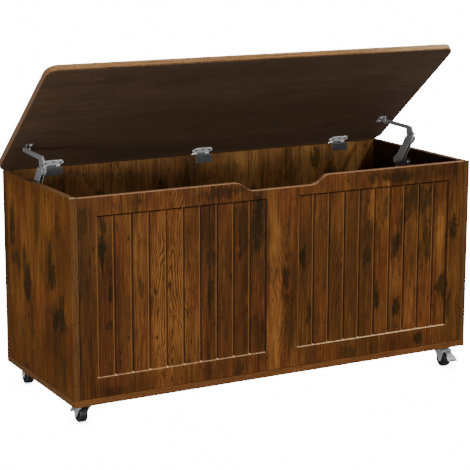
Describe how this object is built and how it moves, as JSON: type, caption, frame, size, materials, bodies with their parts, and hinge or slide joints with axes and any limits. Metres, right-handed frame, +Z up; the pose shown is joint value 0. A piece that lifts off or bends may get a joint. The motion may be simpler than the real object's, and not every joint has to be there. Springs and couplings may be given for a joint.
{
  "type": "toy box",
  "caption": "Long wooden chest on swivel casters, with a hinged lid on folding stays, a slatted front and a finger notch; stores toys and blankets.",
  "frame": {"origin": "on the ground, under the middle of the whole with the lid half open", "axes": "+X along the length to the right, +Y from the front to the back, +Z up"},
  "size_m": [1, 0.4112, 0.7442],
  "materials": {
    "chest_wood": "rustic brown board with dark knots and streaks, satin",
    "lid_wood": "rustic dark brown board with light tan edges, satin",
    "zinc": "bright zinc-plated steel sheet",
    "dark_steel": "dark grey steel sheet, satin",
    "wheel_black": "black moulded tread and hub"
  },
  "bodies": {
    "chest": {"base_panel": "chest_wood", "left_side_panel": "chest_wood", "right_side_panel": "chest_wood", "front_panel": "chest_wood", "back_panel": "chest_wood", "hinge_left_body_leaf": "dark_steel", "hinge_left_pin": "dark_steel", "hinge_middle_body_leaf": "dark_steel", "hinge_middle_pin": "dark_steel", "hinge_right_body_leaf": "dark_steel", "hinge_right_pin": "dark_steel", "stay_left_side_bracket": "zinc", "stay_left_foot_pin": "zinc", "stay_right_side_bracket": "zinc", "stay_right_foot_pin": "zinc", "caster_front_left_plate": "zinc", "caster_front_left_race": "zinc", "caster_front_right_plate": "zinc", "caster_front_right_race": "zinc", "caster_rear_left_plate": "zinc", "caster_rear_left_race": "zinc", "caster_rear_right_plate": "zinc", "caster_rear_right_race": "zinc"},
    "lid": {"lid_panel": "lid_wood", "hinge_left_lid_leaf": "zinc", "hinge_middle_lid_leaf": "zinc", "hinge_right_lid_leaf": "zinc", "stay_left_lid_bracket": "zinc", "stay_left_lid_pin": "zinc", "stay_right_lid_bracket": "zinc", "stay_right_lid_pin": "zinc"},
    "left_channel": {"stay_left_channel": "zinc"},
    "left_arm": {"stay_left_arm": "zinc", "stay_left_elbow_pin": "zinc"},
    "right_channel": {"stay_right_channel": "zinc"},
    "right_arm": {"stay_right_arm": "zinc", "stay_right_elbow_pin": "zinc"},
    "front_left_swivel": {"caster_front_left_fork": "zinc", "caster_front_left_axle": "zinc", "caster_front_left_pedal_pin": "zinc"},
    "front_left_wheel": {"caster_front_left_wheel": "wheel_black"},
    "front_left_pedal": {"caster_front_left_brake_pedal": "zinc"},
    "front_right_swivel": {"caster_front_right_fork": "zinc", "caster_front_right_axle": "zinc", "caster_front_right_pedal_pin": "zinc"},
    "front_right_wheel": {"caster_front_right_wheel": "wheel_black"},
    "front_right_pedal": {"caster_front_right_brake_pedal": "zinc"},
    "rear_left_swivel": {"caster_rear_left_fork": "zinc", "caster_rear_left_axle": "zinc"},
    "rear_left_wheel": {"caster_rear_left_wheel": "wheel_black"},
    "rear_right_swivel": {"caster_rear_right_fork": "zinc", "caster_rear_right_axle": "zinc"},
    "rear_right_wheel": {"caster_rear_right_wheel": "wheel_black"}
  },
  "joints": [
    {"name": "lid_hinge", "type": "hinge", "parent": "chest", "child": "lid", "pos_m": [0, 0.19134, 0.486], "axis": [-1, 0, 0], "range_deg": [-39, 41]},
    {"name": "left_channel_pivot", "type": "hinge", "parent": "chest", "child": "left_channel", "pos_m": [-0.4683, 0.06734, 0.452], "axis": [-1, 0, 0], "range_deg": [-42, 44]},
    {"name": "left_arm_pivot", "type": "hinge", "parent": "lid", "child": "left_arm", "pos_m": [-0.4673, 0.11349, 0.54003], "axis": [-1, 0, 0], "range_deg": [-45, 43]},
    {"name": "right_channel_pivot", "type": "hinge", "parent": "chest", "child": "right_channel", "pos_m": [0.4683, 0.06734, 0.452], "axis": [-1, 0, 0], "range_deg": [-42, 44]},
    {"name": "right_arm_pivot", "type": "hinge", "parent": "lid", "child": "right_arm", "pos_m": [0.4673, 0.11349, 0.54003], "axis": [-1, 0, 0], "range_deg": [-45, 43]},
    {"name": "front_left_swivel", "type": "hinge", "parent": "chest", "child": "front_left_swivel", "pos_m": [-0.452, -0.15166, 0.0425], "axis": [0, 0, 1], "continuous": true},
    {"name": "front_left_wheel_spin", "type": "hinge", "parent": "front_left_swivel", "child": "front_left_wheel", "pos_m": [-0.452, -0.13666, 0.018], "axis": [1, 0, 0], "continuous": true},
    {"name": "front_left_brake", "type": "hinge", "parent": "front_left_swivel", "child": "front_left_pedal", "pos_m": [-0.452, -0.12666, 0.0385], "axis": [-1, 0, 0], "range_deg": [-14, 0]},
    {"name": "front_right_swivel", "type": "hinge", "parent": "chest", "child": "front_right_swivel", "pos_m": [0.452, -0.15166, 0.0425], "axis": [0, 0, 1], "continuous": true},
    {"name": "front_right_wheel_spin", "type": "hinge", "parent": "front_right_swivel", "child": "front_right_wheel", "pos_m": [0.452, -0.16666, 0.018], "axis": [1, 0, 0], "continuous": true},
    {"name": "front_right_brake", "type": "hinge", "parent": "front_right_swivel", "child": "front_right_pedal", "pos_m": [0.452, -0.17666, 0.0385], "axis": [1, 0, 0], "range_deg": [0, 14]},
    {"name": "rear_left_swivel", "type": "hinge", "parent": "chest", "child": "rear_left_swivel", "pos_m": [-0.452, 0.15034, 0.0425], "axis": [0, 0, 1], "continuous": true},
    {"name": "rear_left_wheel_spin", "type": "hinge", "parent": "rear_left_swivel", "child": "rear_left_wheel", "pos_m": [-0.452, 0.16534, 0.018], "axis": [1, 0, 0], "continuous": true},
    {"name": "rear_right_swivel", "type": "hinge", "parent": "chest", "child": "rear_right_swivel", "pos_m": [0.452, 0.15034, 0.0425], "axis": [0, 0, 1], "continuous": true},
    {"name": "rear_right_wheel_spin", "type": "hinge", "parent": "rear_right_swivel", "child": "rear_right_wheel", "pos_m": [0.452, 0.16534, 0.018], "axis": [1, 0, 0], "continuous": true}
  ],
  "couplings": [
    {"joint": "left_channel_pivot", "follows": "lid_hinge", "ratio": 1.0671},
    {"joint": "left_arm_pivot", "follows": "lid_hinge", "ratio": -1.0784},
    {"joint": "right_channel_pivot", "follows": "lid_hinge", "ratio": 1.0671},
    {"joint": "right_arm_pivot", "follows": "lid_hinge", "ratio": -1.0784}
  ]
}
